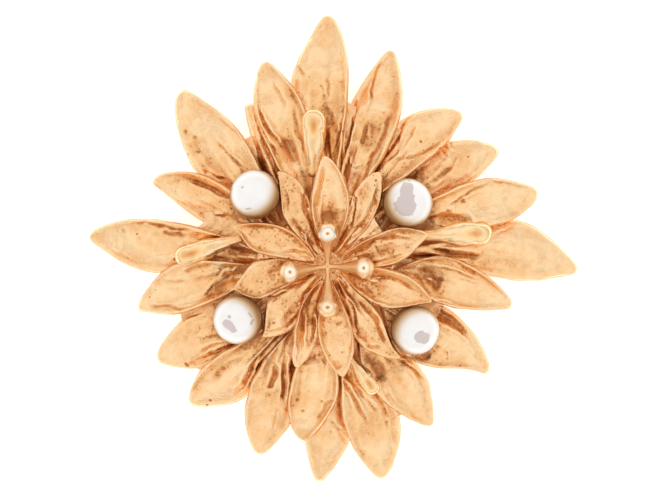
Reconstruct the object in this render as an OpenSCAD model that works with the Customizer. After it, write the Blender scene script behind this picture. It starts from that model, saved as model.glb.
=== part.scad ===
// Gold flower brooch. Twenty-one cast petals sit in a ring on a domed back
// plate, with a rosette of eleven smaller petals on a hub above them. Four
// pearls stand on posts between the two, four buds lie on the outer petals and
// four stamens spring from the middle. Under the plate a pin stem turns on a
// riveted bracket and closes into a catch with a rotating safety sleeve.
// Millimetres. The face looks up (+Z) and the brooch rests on the undersides of
// its longest petals at z = 0. Plan positions are measured from the flower's
// axis, which stands a little off the middle of the whole outline.

/* [Petals] */
// Thickness of an outer petal
outer_thick = 0.9; // [0.7:0.05:1.0]
// Thickness of an inner petal
inner_thick = 0.7; // [0.6:0.05:0.8]
// Rise or fall of an outer petal's edges where petals overlap
outer_cup = 0.95; // [0.85:0.05:1.2]
// Rise or fall of an inner petal's edges where petals overlap
inner_cup = 0.7; // [0.6:0.05:0.9]

/* [Pearls and stamens] */
// Diameter of a pearl
pearl_d = 6.1; // [5.6:0.1:6.2]
// Height of the pearl centres
pearl_z = 10.6; // [10.4:0.1:11.0]
// Radius of a stamen's bulb
stamen_r = 1.2; // [1.0:0.05:1.3]

/* [Pin] */
// Diameter of the pin stem's wire
pin_d = 0.9; // [0.8:0.05:1.0]
// Radial clearance of the hinge and the safety sleeve
fit_gap = 0.05; // [0.03:0.01:0.08]

/* [Hidden] */
$fn = 48;
// the flower's axis, from the middle of the outline
axis_x = -0.7;
axis_y = -2.2;

// Outer petals, clockwise from the top. Left and right are as seen from the
// root looking along the petal, and an edge sign of 1 lies over its neighbour:
// [root, tip, bow, [left, right] half widths, [left, right] belly,
//  [left, right] point, [left, right] edge sign, [rise of the petal, flick of its tip]]
OUTER = [
  [[0.2, 8.1], [0.0, 31.0], 1.2, [3.5, 3.7], [0.58, 0.64], [0.85, 0.70], [-1, 1], [0.0, 0.0]],
  [[2.2, 7.8], [7.9, 26.6], 0.0, [3.0, 3.4], [0.50, 0.58], [0.75, 0.80], [-1, 1], [0.0, -0.2]],
  [[4.0, 7.1], [16.5, 18.9], 1.6, [3.0, 3.0], [0.64, 0.62], [0.65, 0.75], [-1, 1], [0.0, 0.0]],
  [[5.9, 5.6], [21.0, 14.4], 1.1, [3.3, 3.0], [0.60, 0.60], [0.70, 0.80], [-1, -1], [0.0, -0.3]],
  [[7.2, 3.8], [25.9, 9.2], 0.5, [3.0, 3.0], [0.66, 0.70], [0.85, 0.65], [1, 1], [0.0, 0.2]],
  [[7.9, 1.7], [30.8, -0.4], 1.8, [3.7, 3.7], [0.66, 0.62], [0.90, 0.80], [-1, -1], [0.0, -0.05]],
  [[8.0, -1.0], [22.7, -4.8], 0.8, [3.0, 2.9], [0.40, 0.50], [0.75, 0.75], [1, 1], [0.0, 0.2]],
  [[6.8, -4.4], [19.8, -13.0], 0.0, [3.8, 4.0], [0.46, 0.42], [0.70, 1.40], [-1, 1], [0.0, 0.0]],
  [[4.8, -6.6], [12.8, -19.6], -0.8, [3.3, 3.2], [0.62, 0.40], [1.00, 0.80], [-1, 1], [0.2, 0.2]],
  [[3.0, -7.5], [6.8, -26.2], 0.0, [3.5, 3.4], [0.62, 0.56], [0.70, 0.75], [-1, 1], [-0.1, 0.0]],
  [[0.9, -8.1], [-1.1, -26.6], 0.4, [3.1, 3.0], [0.62, 0.60], [0.90, 0.85], [-1, -1], [-0.2, -1.5]],
  [[-1.2, -8.0], [-2.9, -21.5], 0.4, [3.1, 3.0], [0.52, 0.62], [1.00, 0.65], [1, 1], [0.5, 0.3]],
  [[-3.2, -7.4], [-8.5, -23.2], -0.4, [3.0, 3.3], [0.60, 0.58], [0.80, 0.65], [-1, 1], [0.0, -0.2]],
  [[-4.9, -6.5], [-16.9, -17.0], 0.9, [2.9, 3.2], [0.66, 0.68], [0.90, 0.75], [-1, 1], [0.0, 0.0]],
  [[-7.1, -3.9], [-20.9, -11.6], 0.8, [3.0, 3.2], [0.62, 0.55], [0.75, 0.70], [-1, -1], [0.0, -0.4]],
  [[-8.0, -1.0], [-23.4, -5.2], -1.0, [2.9, 3.1], [0.64, 0.62], [1.00, 0.85], [1, 1], [0.0, 0.2]],
  [[-8.0, 1.2], [-29.4, 3.6], 0.0, [3.5, 3.1], [0.60, 0.62], [0.90, 0.60], [-1, 1], [0.0, -0.55]],
  [[-7.2, 3.6], [-21.5, 10.6], -1.0, [2.9, 2.5], [0.50, 0.62], [1.00, 0.60], [-1, 1], [0.0, 0.0]],
  [[-6.2, 5.2], [-18.0, 21.7], 0.9, [3.5, 3.7], [0.56, 0.56], [0.50, 0.90], [-1, 1], [0.0, -0.2]],
  [[-4.6, 6.7], [-10.0, 19.9], 0.2, [1.6, 1.6], [0.60, 0.60], [0.75, 0.75], [-1, -1], [0.0, -0.4]],
  [[-2.6, 7.7], [-7.8, 25.2], 0.0, [3.0, 3.1], [0.66, 0.62], [0.75, 0.80], [1, 1], [0.0, 0.2]]
];

// Inner petals, clockwise from the top, in the same form
INNER = [
  [[0.1, 1.8], [-0.3, 13.5], 0.0, [2.0, 2.8], [0.50, 0.50], [0.85, 0.70], [1, 1], [0.0, 0.0]],
  [[0.9, 1.5], [6.3, 11.5], -0.6, [2.1, 1.6], [0.66, 0.60], [0.70, 0.70], [-1, -1], [0.0, -0.2]],
  [[1.6, 0.8], [12.3, 3.9], 0.0, [2.0, 2.5], [0.62, 0.50], [0.80, 1.10], [1, -1], [0.0, 0.0]],
  [[1.7, -0.5], [12.7, -4.3], 0.0, [2.2, 2.6], [0.60, 0.52], [0.90, 1.10], [1, 1], [0.0, 0.5]],
  [[1.1, -1.4], [8.8, -11.2], -0.6, [2.1, 2.2], [0.50, 0.62], [1.50, 0.70], [-1, -1], [0.0, 0.0]],
  [[0.2, -1.8], [1.9, -13.5], -0.2, [2.2, 2.1], [0.64, 0.58], [0.90, 0.75], [1, 1], [0.0, -0.2]],
  [[-0.6, -1.7], [-3.8, -12.4], -0.3, [1.8, 1.5], [0.62, 0.40], [0.90, 0.60], [-1, 1], [0.0, 0.0]],
  [[-1.4, -1.1], [-8.0, -8.6], 0.0, [2.2, 2.6], [0.62, 0.58], [0.80, 1.60], [-1, -1], [0.0, 0.0]],
  [[-1.8, -0.3], [-11.5, -2.8], -0.4, [2.2, 2.4], [0.70, 0.60], [1.00, 1.10], [1, -1], [0.0, 0.3]],
  [[-1.6, 0.8], [-11.5, 4.8], -0.3, [2.1, 2.0], [0.64, 0.45], [1.40, 0.75], [1, 1], [0.0, 0.2]],
  [[-0.9, 1.6], [-6.0, 11.6], 0.1, [1.9, 1.9], [0.48, 0.70], [1.20, 0.80], [-1, -1], [0.0, 0.0]]
];

// plan places of the pearls, clockwise from the upper right
PEARLS = [[9.8, 7.7], [10.7, -7.8], [-11.0, -6.5], [-8.9, 8.8]];
PEARL_NAMES = ["upper_right", "lower_right", "lower_left", "upper_left"];

// buds: [thin end, blunt end, radius of the blunt end]
BUDS = [
  [[-1.8, 11.8, 8.2], [-1.7, 17.8, 7.3], 1.4],
  [[12.4, 3.8, 8.3], [18.7, 4.0, 6.9], 1.4],
  [[2.9, -11.2, 8.4], [5.4, -14.8, 7.8], 0.9],
  [[-11.2, 3.3, 8.2], [-17.5, 1.3, 7.1], 1.2]
];
// plan places of the stamens' bulbs
STAMENS = [[0.0, 4.0], [4.4, -0.2], [0.0, -5.0], [-4.6, -0.7]];
SIDE_NAMES = ["top", "right", "bottom", "left"];
stamen_z = 13.0;
stalk_r = 0.35;

// half width of a petal's root, and the length over which its edges lift
outer_root = 0.75;
inner_root = 0.4;
outer_ramp = 0.14;
inner_ramp = 0.12;
edge_min = 0.12;
// steps along and across a petal
along = 12;
across = 6;

// the dome that the outer petals follow, from its flat middle to its rim
dome_z = 7.1;
dome_flat = 8;
dome_rim = 31;
dome_drop = 6.2;
// the bowl that the inner petals follow
bowl_z = 10.1;
bowl_rim = 13;
bowl_rise = 1.6;

plate_z = 6.35;
plate_r = 14.6;
hub_r = 2.4;
hub_z = 10.5;

// pearl post
peg_r = 0.45;
peg_gap = 0.05;
peg_h = 3.4;
bore_h = 3.6;
post_r = 0.6;
post_foot_z = 4.1;
cup_r = 1.7;

// pin finding: the pin lies along X beside the flower's axis
pin_y = 5;
pin_z = 2.2;
pin_r = pin_d / 2;
hinge_x = -11.8;
tip_x = 15.6;
// the wire tapers from taper_x, and comes to its point over the last point_l
taper_x = 9.0;
taper_r = 0.33;
point_l = 2.8;
point_r = 0.06;
rivet_r = 0.5;
knuckle_r = 1.0;
knuckle_w = 1.3;
lug_in = 0.75;
lug_w = 0.7;
lug_top = 3.9;
// the lugs' feet against the plate, and the bar that joins them behind the hinge
foot_back = 1.5;
foot_front = 1.0;
foot_h = 0.6;
stop_w = 0.35;
stop_h = 1.0;
// the rivet's play in the lugs, and its heads
rivet_play = 0.01;
head_r = 0.85;
head_h = 0.35;
catch_x = 9.4;
catch_l = 3.0;
catch_wall = 0.45;
sleeve_r = 1.25;
sleeve_bore = 0.6;
end_wall = 0.4;
slot_w = 1.2;
nub_r = 2.1;
nub_w = 0.6;

OUTER_NAMES = [for (i = [1:len(OUTER)]) str("outer_petal_", i < 10 ? "0" : "", i)];
INNER_NAMES = [for (i = [1:len(INNER)]) str("inner_petal_", i < 10 ? "0" : "", i)];
BUD_NAMES = [for (n = SIDE_NAMES) str("bud_", n)];
STAMEN_NAMES = [for (n = SIDE_NAMES) str("stamen_", n)];
BALL_NAMES = [for (n = PEARL_NAMES) str("pearl_", n)];
POST_NAMES = [for (n = PEARL_NAMES) str("pearl_post_", n)];

// Half width of a petal at u, from the root at 0 to the tip at 1
function half_width(u, wide, belly, point, root) =
  u < belly
    ? root + (wide - root) * sin(90 * u / belly)
    : wide * pow(max(0, cos(90 * (u - belly) / (1 - belly))), point);

// Height of a petal's edge above its spine, 0 at the spine and 1 at the edge
function arm(v) = (sqrt(v * v + 0.04) - 0.2) / 0.82;

// Share of the full edge lift at u: none at the root and none at the tip
function lift(u, ramp) = sin(90 * min(1, u / ramp)) * (1 - pow(max(0, u - 0.6) / 0.4, 2));

function dome(r) = dome_z - dome_drop * pow(max(0, r - dome_flat) / (dome_rim - dome_flat), 1.6);
function bowl(r) = bowl_z + bowl_rise * pow(r / bowl_rim, 1.2);

// One point on the upper face of petal p, v from -1 at the right to 1 at the left
function petal_point(p, u, v, outer) =
  let (
    root = p[0],
    run = p[1] - p[0],
    normal = [-run[1], run[0]] / norm(run),
    k = v > 0 ? 0 : 1,
    half = max(edge_min, half_width(u, p[3][k], p[4][k], p[5][k], outer ? outer_root : inner_root)),
    xy = root + run * u + normal * (p[2] * 4 * u * (1 - u) + v * half),
    edge = p[6][k] * (outer ? outer_cup : inner_cup) * lift(u, outer ? outer_ramp : inner_ramp),
    base = outer ? dome(norm(xy)) : bowl(norm(xy)),
    z = base + edge * arm(v) + p[7][0] * lift(u, outer_ramp) + p[7][1] * pow(u, 4)
  )
  [xy[0], xy[1], z];

// Places along a petal, closer together towards the tip
function step_u(i) = 1 - pow(1 - i / along, 1.3);

module petal(p, thick, outer) {
  row = across + 1;
  count = (along + 1) * row;
  top = [for (i = [0:along], j = [0:across]) petal_point(p, step_u(i), 2 * j / across - 1, outer)];
  bottom = [for (q = top) q - [0, 0, thick]];
  faces = concat(
    [for (i = [0:along - 1], j = [0:across - 1]) let (a = i * row + j) [a, a + row + 1, a + row]],
    [for (i = [0:along - 1], j = [0:across - 1]) let (a = i * row + j) [a, a + 1, a + row + 1]],
    [for (i = [0:along - 1], j = [0:across - 1]) let (a = count + i * row + j) [a, a + row, a + row + 1]],
    [for (i = [0:along - 1], j = [0:across - 1]) let (a = count + i * row + j) [a, a + row + 1, a + 1]],
    [for (i = [0:along - 1]) let (a = i * row) [a, a + row, a + row + count, a + count]],
    [for (i = [0:along - 1]) let (a = i * row + across) [a + row, a, a + count, a + row + count]],
    [for (j = [0:across - 1]) [j + 1, j, j + count, j + 1 + count]],
    [for (j = [0:across - 1]) let (a = along * row + j) [a, a + 1, a + 1 + count, a + count]]
  );
  polyhedron(concat(top, bottom), faces, convexity = 6);
}

module outer_petal(i) {
  color("goldenrod") petal(OUTER[i], outer_thick, true);
}

module inner_petal(i) {
  color("gold") petal(INNER[i], inner_thick, false);
}

// Turns the Z axis to point from one place to another
module aim(from, to) {
  run = to - from;
  translate(from) rotate([0, acos(run[2] / norm(run)), atan2(run[1], run[0])]) children();
}

// A round body along Z: a stalk that swells into a ball whose centre is at the height given
module drop(height, stalk, ball) {
  swell = [for (i = [0:8]) let (t = i / 8) [stalk + (0.92 * ball - stalk) * pow(t, 1.6), height * 0.94 * t]];
  cap = [for (a = [-10:10:80]) [ball * cos(a), height + ball * sin(a)]];
  rotate_extrude() polygon(concat([[0, 0]], swell, cap, [[0, height + ball]]));
}

module back_plate() {
  color("darkgoldenrod") rotate_extrude($fn = 96) polygon([
    [0, plate_z - 0.95], [8.4, plate_z - 0.95], [9.2, 4.15], [plate_r, 3.4], [plate_r, 4.2],
    [12, 4.7], [10, 5.0], [9.2, plate_z], [0, plate_z]
  ]);
}

module hub() {
  color("goldenrod") rotate_extrude() polygon([
    [0, plate_z - 0.15], [3.2, plate_z - 0.15], [3.2, plate_z + 0.5], [hub_r, plate_z + 1.2],
    [hub_r, hub_z - 0.5], [hub_r - 0.5, hub_z], [0, hub_z + 0.2]
  ]);
}

module bud(i) {
  thin = BUDS[i][0];
  blunt = BUDS[i][1];
  color("khaki") aim(thin, blunt) drop(norm(blunt - thin), 0.5 * BUDS[i][2], BUDS[i][2]);
}

module stamen(i) {
  ball = [STAMENS[i][0], STAMENS[i][1], stamen_z];
  foot = [ball[0], ball[1], 0] / norm(STAMENS[i]) + [0, 0, hub_z - 0.1];
  color("lemonchiffon") aim(foot, ball) drop(norm(ball - foot), stalk_r, stamen_r);
}

module pearl(i) {
  color("ivory") translate([PEARLS[i][0], PEARLS[i][1], pearl_z]) difference() {
    sphere(d = pearl_d, $fn = 64);
    translate([0, 0, -pearl_d / 2 - 1]) cylinder(r = peg_r + peg_gap, h = bore_h + 1);
  }
}

module pearl_post(i) {
  seat_z = pearl_z - pearl_d / 2;
  color("darkgoldenrod") translate([PEARLS[i][0], PEARLS[i][1], 0]) {
    difference() {
      translate([0, 0, seat_z - 0.5]) cylinder(r1 = post_r, r2 = cup_r, h = 0.8);
      translate([0, 0, pearl_z]) sphere(d = pearl_d + 2 * peg_gap, $fn = 64);
    }
    translate([0, 0, post_foot_z]) cylinder(r = post_r, h = seat_z - 0.3 - post_foot_z);
    translate([0, 0, seat_z - 0.6]) cylinder(r = peg_r, h = 0.6 + peg_h);
  }
}

// Moves its children to the hinge, with Z along the hinge's axis (+Y of the brooch)
module at_hinge() {
  translate([hinge_x, pin_y, pin_z]) rotate([-90, 0, 0]) children();
}

// Moves its children to a place on the pin's line, with Z along the pin
module at_pin(x) {
  translate([x, pin_y, pin_z]) rotate([0, 90, 0]) children();
}

module hinge_bracket() {
  color("darkgoldenrod") difference() {
    union() {
      for (side = [-1, 1]) translate([hinge_x, pin_y + side * (lug_in + lug_w / 2), 0]) {
        translate([0, 0, pin_z]) rotate([90, 0, 0]) cylinder(r = knuckle_r, h = lug_w, center = true);
        translate([-knuckle_r, -lug_w / 2, pin_z]) cube([2 * knuckle_r, lug_w, lug_top - pin_z]);
        translate([-foot_back, -lug_w / 2, lug_top - foot_h]) cube([foot_back + foot_front, lug_w, foot_h]);
      }
      translate([hinge_x - foot_back, pin_y - lug_in - 0.1, lug_top - stop_h])
        cube([stop_w, 2 * lug_in + 0.2, stop_h]);
    }
    at_hinge() cylinder(r = rivet_r + rivet_play, h = 8, center = true);
  }
}

module hinge_rivet() {
  reach = lug_in + lug_w;
  color("gold") at_hinge() {
    cylinder(r = rivet_r, h = 2 * reach + 0.4, center = true);
    for (side = [0, 180]) rotate([side, 0, 0]) translate([0, 0, reach + 0.02])
      cylinder(r1 = head_r, r2 = 0.7 * head_r, h = head_h);
  }
}

module pin_stem() {
  neck_x = tip_x - point_l;
  color("gold") difference() {
    union() {
      at_hinge() cylinder(r = knuckle_r, h = knuckle_w, center = true);
      at_pin(hinge_x) cylinder(r = pin_r, h = taper_x - hinge_x);
      at_pin(taper_x) cylinder(r1 = pin_r, r2 = taper_r, h = neck_x - taper_x);
      at_pin(neck_x) cylinder(r1 = taper_r, r2 = point_r, h = point_l);
    }
    at_hinge() cylinder(r = rivet_r + fit_gap, h = knuckle_w + 2, center = true);
  }
}

module catch_body() {
  bore = sleeve_r + fit_gap;
  window = catch_l - 2 * end_wall - 0.6;
  color("darkgoldenrod") difference() {
    union() {
      at_pin(catch_x) cylinder(r = bore + catch_wall, h = catch_l);
      translate([catch_x, pin_y - 1.3, pin_z + 1.0]) cube([catch_l, 2.6, 0.65]);
    }
    at_pin(catch_x + end_wall) cylinder(r = bore, h = catch_l - 2 * end_wall);
    at_pin(catch_x - 1) cylinder(r = sleeve_bore, h = catch_l + 2);
    translate([catch_x - 1, pin_y - slot_w / 2, pin_z - 3]) cube([catch_l + 2, slot_w, 3]);
    translate([catch_x + end_wall + 0.3, pin_y, pin_z - 3]) cube([window, 3, 3 + nub_w / 2 + 0.15]);
  }
}

module catch_sleeve() {
  long = catch_l - 2 * end_wall - 0.1;
  middle = catch_x + catch_l / 2;
  color("gold") difference() {
    union() {
      at_pin(middle - long / 2) cylinder(r = sleeve_r, h = long);
      translate([middle - 0.5, pin_y + 0.8, pin_z - nub_w / 2]) cube([1.0, nub_r - 0.8, nub_w]);
    }
    at_pin(middle - 3) cylinder(r = sleeve_bore, h = 6);
    translate([middle - 3, pin_y - slot_w / 2, pin_z - 3]) cube([6, slot_w, 3]);
  }
}

// Stands the flower on the middle of its own outline
module place() {
  translate([axis_x, axis_y, 0]) children();
}

place() back_plate();
place() hub();
for (i = [0:len(OUTER) - 1]) place() outer_petal(i);
for (i = [0:len(INNER) - 1]) place() inner_petal(i);
for (i = [0:3]) place() bud(i);
for (i = [0:3]) place() stamen(i);
for (i = [0:3]) place() pearl(i);
for (i = [0:3]) place() pearl_post(i);
place() hinge_bracket();
place() hinge_rivet();
place() pin_stem();
place() catch_body();
place() catch_sleeve();
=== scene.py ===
"""Looks of the gold flower brooch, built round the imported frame.

Every length in the tables is in millimetres, in plan from the flower's axis;
meshes are made in metres. Each cast petal is lofted from the curves of its CAD
node and carries its own relief: rims, creases, ridges and hammering.
"""
import math

import bpy
import numpy as np
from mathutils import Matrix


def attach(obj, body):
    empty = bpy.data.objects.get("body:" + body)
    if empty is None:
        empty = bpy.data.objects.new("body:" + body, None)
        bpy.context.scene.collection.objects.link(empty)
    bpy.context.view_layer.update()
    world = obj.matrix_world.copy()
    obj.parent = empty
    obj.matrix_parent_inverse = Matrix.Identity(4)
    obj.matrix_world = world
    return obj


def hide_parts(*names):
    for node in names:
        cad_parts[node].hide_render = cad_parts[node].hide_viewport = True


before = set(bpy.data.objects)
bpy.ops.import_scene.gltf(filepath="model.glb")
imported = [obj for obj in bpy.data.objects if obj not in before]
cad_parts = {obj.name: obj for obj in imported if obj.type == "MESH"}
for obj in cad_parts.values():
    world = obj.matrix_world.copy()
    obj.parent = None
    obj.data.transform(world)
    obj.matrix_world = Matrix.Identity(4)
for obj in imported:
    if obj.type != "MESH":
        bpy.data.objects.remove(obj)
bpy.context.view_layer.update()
MM = 0.001
AXIS = np.array([-0.7, -2.2, 0.0])

# -------- petals
# [root], [tip], bow, half widths L/R, belly L/R, point L/R, edge sign L/R,
# [rise, flick]: left and right are seen from the root looking to the tip
OUTER = [
    ((0.2, 8.1), (0, 31.0), 1.2, (3.5, 3.7), (0.58, 0.64), (0.85, 0.7), (-1, 1), (0, 0)),
    ((2.2, 7.8), (7.9, 26.6), 0, (3.0, 3.4), (0.5, 0.58), (0.75, 0.8), (-1, 1), (0, -0.2)),
    ((4.0, 7.1), (16.5, 18.9), 1.6, (3.0, 3.0), (0.64, 0.62), (0.65, 0.75), (-1, 1), (0, 0)),
    ((5.9, 5.6), (21.0, 14.4), 1.1, (3.3, 3.0), (0.6, 0.6), (0.7, 0.8), (-1, -1), (0, -0.3)),
    ((7.2, 3.8), (25.9, 9.2), 0.5, (3.0, 3.0), (0.66, 0.7), (0.85, 0.65), (1, 1), (0, 0.2)),
    ((7.9, 1.7), (30.8, -0.4), 1.8, (3.7, 3.7), (0.66, 0.62), (0.9, 0.8), (-1, -1), (0, -0.05)),
    ((8.0, -1.0), (22.7, -4.8), 0.8, (3.0, 2.9), (0.4, 0.5), (0.75, 0.75), (1, 1), (0, 0.2)),
    ((6.8, -4.4), (19.8, -13.0), 0, (3.8, 4.0), (0.46, 0.42), (0.7, 1.4), (-1, 1), (0, 0)),
    ((4.8, -6.6), (12.8, -19.6), -0.8, (3.3, 3.2), (0.62, 0.4), (1.0, 0.8), (-1, 1), (0.2, 0.2)),
    ((3.0, -7.5), (6.8, -26.2), 0, (3.5, 3.4), (0.62, 0.56), (0.7, 0.75), (-1, 1), (-0.1, 0)),
    ((0.9, -8.1), (-1.1, -26.6), 0.4, (3.1, 3.0), (0.62, 0.6), (0.9, 0.85), (-1, -1), (-0.2, -1.5)),
    ((-1.2, -8.0), (-2.9, -21.5), 0.4, (3.1, 3.0), (0.52, 0.62), (1.0, 0.65), (1, 1), (0.5, 0.3)),
    ((-3.2, -7.4), (-8.5, -23.2), -0.4, (3.0, 3.3), (0.6, 0.58), (0.8, 0.65), (-1, 1), (0, -0.2)),
    ((-4.9, -6.5), (-16.9, -17.0), 0.9, (2.9, 3.2), (0.66, 0.68), (0.9, 0.75), (-1, 1), (0, 0)),
    ((-7.1, -3.9), (-20.9, -11.6), 0.8, (3.0, 3.2), (0.62, 0.55), (0.75, 0.7), (-1, -1), (0, -0.4)),
    ((-8.0, -1.0), (-23.4, -5.2), -1.0, (2.9, 3.1), (0.64, 0.62), (1.0, 0.85), (1, 1), (0, 0.2)),
    ((-8.0, 1.2), (-29.4, 3.6), 0, (3.5, 3.1), (0.6, 0.62), (0.9, 0.6), (-1, 1), (0, -0.55)),
    ((-7.2, 3.6), (-21.5, 10.6), -1.0, (2.9, 2.5), (0.5, 0.62), (1.0, 0.6), (-1, 1), (0, 0)),
    ((-6.2, 5.2), (-18.0, 21.7), 0.9, (3.5, 3.7), (0.56, 0.56), (0.5, 0.9), (-1, 1), (0, -0.2)),
    ((-4.6, 6.7), (-10.0, 19.9), 0.2, (1.6, 1.6), (0.6, 0.6), (0.75, 0.75), (-1, -1), (0, -0.4)),
    ((-2.6, 7.7), (-7.8, 25.2), 0, (3.0, 3.1), (0.66, 0.62), (0.75, 0.8), (1, 1), (0, 0.2)),
]
INNER = [
    ((0.1, 1.8), (-0.3, 13.5), 0, (2.0, 2.8), (0.5, 0.5), (0.85, 0.7), (1, 1), (0, 0)),
    ((0.9, 1.5), (6.3, 11.5), -0.6, (2.1, 1.6), (0.66, 0.6), (0.7, 0.7), (-1, -1), (0, -0.2)),
    ((1.6, 0.8), (12.3, 3.9), 0, (2.0, 2.5), (0.62, 0.5), (0.8, 1.1), (1, -1), (0, 0)),
    ((1.7, -0.5), (12.7, -4.3), 0, (2.2, 2.6), (0.6, 0.52), (0.9, 1.1), (1, 1), (0, 0.5)),
    ((1.1, -1.4), (8.8, -11.2), -0.6, (2.1, 2.2), (0.5, 0.62), (1.5, 0.7), (-1, -1), (0, 0)),
    ((0.2, -1.8), (1.9, -13.5), -0.2, (2.2, 2.1), (0.64, 0.58), (0.9, 0.75), (1, 1), (0, -0.2)),
    ((-0.6, -1.7), (-3.8, -12.4), -0.3, (1.8, 1.5), (0.62, 0.4), (0.9, 0.6), (-1, 1), (0, 0)),
    ((-1.4, -1.1), (-8.0, -8.6), 0, (2.2, 2.6), (0.62, 0.58), (0.8, 1.6), (-1, -1), (0, 0)),
    ((-1.8, -0.3), (-11.5, -2.8), -0.4, (2.2, 2.4), (0.7, 0.6), (1.0, 1.1), (1, -1), (0, 0.3)),
    ((-1.6, 0.8), (-11.5, 4.8), -0.3, (2.1, 2.0), (0.64, 0.45), (1.4, 0.75), (1, 1), (0, 0.2)),
    ((-0.9, 1.6), (-6.0, 11.6), 0.1, (1.9, 1.9), (0.48, 0.7), (1.2, 0.8), (-1, -1), (0, 0)),
]
PEARLS = {"upper_right": (9.8, 7.7), "lower_right": (10.7, -7.8),
          "lower_left": (-11.0, -6.5), "upper_left": (-8.9, 8.8)}
PEARL_Z, PEARL_R = 10.6, 3.05
PEARL_BORE, BORE_DEPTH = 0.5, 3.6
# thin end, blunt end, radius
BUDS = {"top": ((-1.8, 11.8, 8.2), (-1.7, 17.8, 7.3), 1.4),
        "right": ((12.4, 3.8, 8.3), (18.7, 4.0, 6.9), 1.4),
        "bottom": ((2.9, -11.2, 8.4), (5.4, -14.8, 7.8), 0.9),
        "left": ((-11.2, 3.3, 8.2), (-17.5, 1.3, 7.1), 1.2)}
# place in plan, then the radius and gain of the painted highlight on the ball's top
STAMENS = {"top": ((0.0, 4.0), (1.2, 0.4)), "right": ((4.4, -0.2), (0.85, 0.35)),
           "bottom": ((0.0, -5.0), (0.8, 0.22)), "left": ((-4.6, -0.7), (0.95, 0.35))}
STAMEN_Z, STALK_R, BALL_R, HUB_Z = 13.0, 0.30, 1.3, 10.5

LATTICE = 97  # side of each table of noise
TURNS = 360  # points round each ground
THINNEST = 0.12  # least half width of a petal
WOBBLE, WOBBLE_SPACING = 0.10, 1.7  # of its outline
# its face: heights and spacings of the noise, and the scale of the strokes
RAY_HEIGHT, RAY_LENGTH, RAY_WIDTH = 0.20, 7, 0.42
SWELL_HEIGHT, SWELL_LENGTH, SWELL_WIDTH = 0.26, 4.2, 1.9
HAMMERING = ((0.13, 1.5, 3), (0.045, 0.55, 4))  # height, spacing, step of the seed
SWAY, SWAY_SPACING = 0.13, 0.8
STROKE_WIDTH, STROKE_HEIGHT = 0.9, 0.85
NARROW = 0.45  # a crease under this width has a shoulder
SHOULDER = 0.35
# painted shade at the foot of a pearl or stamen: radius, reach, strength
PEARL_FOOT_SHADE, STAMEN_FOOT_SHADE = (PEARL_R, 1.0, 0.28), (1.2, 0.55, 0.22)


def bell(distance, reach):
    return np.exp(-(distance / reach) ** 2)


def unit(value):
    return np.clip(value, 0, 1)


def ease(t):
    return t * t * (3 - 2 * t)


def half_width(u, wide, belly, point, root):
    """Half width of a petal at u, as in the CAD."""
    rise = root + (wide - root) * np.sin(np.pi / 2 * u / belly)
    fall = wide * np.maximum(0, np.cos(np.pi / 2 * (u - belly) / (1 - belly))) ** point
    return np.where(u < belly, rise, fall)


def lift(u, ramp):
    """How far a petal's edges stand up or hang down at u, as in the CAD."""
    return np.sin(np.pi / 2 * np.minimum(1, u / ramp)) * (1 - (np.maximum(0, u - 0.6) / 0.4) ** 2)


def arm(v):
    """Share of that lift from the mid line (0) to the edge (1), as in the CAD."""
    return (np.sqrt(v * v + 0.04) - 0.2) / 0.82


def dome(r):
    """Height of the outer petals at radius r."""
    return 7.1 - 6.2 * (np.maximum(0, r - 8) / 23) ** 1.6


def bowl(r):
    """Height of the rosette at radius r."""
    return 10.1 + 1.6 * (r / 13) ** 1.2


# thickness, cup of the edges, ramp of that cup and of the rims, width at the root, mesh along
# and across, blunting of the tip; then painted shading: level, creases, dark edge line, painted
# shade at the root
OUTER_STYLE = dict(surface=dome, thick=0.9, cup=0.95, ramp=0.14, rim_ramp=0.3, root=0.75,
                   mesh=(130, 52), blunt=0.5, level=0.60, crease=2.2, edge=0.45,
                   root_shade=(0.22, 1.0, 1.8))
INNER_STYLE = dict(surface=bowl, thick=0.7, cup=0.7, ramp=0.12, rim_ramp=0.25, root=0.4,
                   mesh=(90, 44), blunt=0.25, level=0.63, crease=1.8, edge=0.35,
                   root_shade=(0.16, 1.15, 1.6))


def grain(x, y, seed):
    """Smooth noise between -1 and 1 over a unit lattice."""
    table = np.random.default_rng(seed).uniform(-1, 1, (LATTICE, LATTICE))
    i, j = np.floor(x).astype(int), np.floor(y).astype(int)
    fx, fy = ease(x - i), ease(y - j)
    left, right, below, above = (k % LATTICE for k in (i, i + 1, j, j + 1))
    low = table[left, below] * (1 - fx) + table[right, below] * fx
    high = table[left, above] * (1 - fx) + table[right, above] * fx
    return low * (1 - fy) + high * fy


def stroke(x, y, points, width, height):
    """A crease (negative height) or ridge along a line of plan points, thinning out at its
    ends. A narrow crease throws up a low shoulder on its left side, as a fold does."""
    best, best_t, side = np.full(x.shape, 1e9), np.zeros(x.shape), np.ones(x.shape)
    lengths = [math.dist(p, q) for p, q in zip(points, points[1:])]
    total, done = sum(lengths), 0.0
    for p, q, run in zip(points, points[1:], lengths):
        ex, ey = q[0] - p[0], q[1] - p[1]
        t = unit(((x - p[0]) * ex + (y - p[1]) * ey) / run ** 2)
        d = np.hypot(x - p[0] - t * ex, y - p[1] - t * ey)
        near = d < best
        best = np.where(near, d, best)
        best_t = np.where(near, (done + t * run) / total, best_t)
        side = np.where(near, np.sign(ex * (y - p[1]) - ey * (x - p[0])), side)
        done += run
    fade = 0.1 + 0.9 * ease(unit(np.minimum(best_t, 1 - best_t) * 4))
    width = width * (0.55 + 0.45 * fade)
    cut = height * fade * bell(best, width)
    if height < 0 and width.max() < NARROW:
        cut -= SHOULDER * height * fade * bell(best * side - 2.0 * width, 1.5 * width)
    return cut


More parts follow.
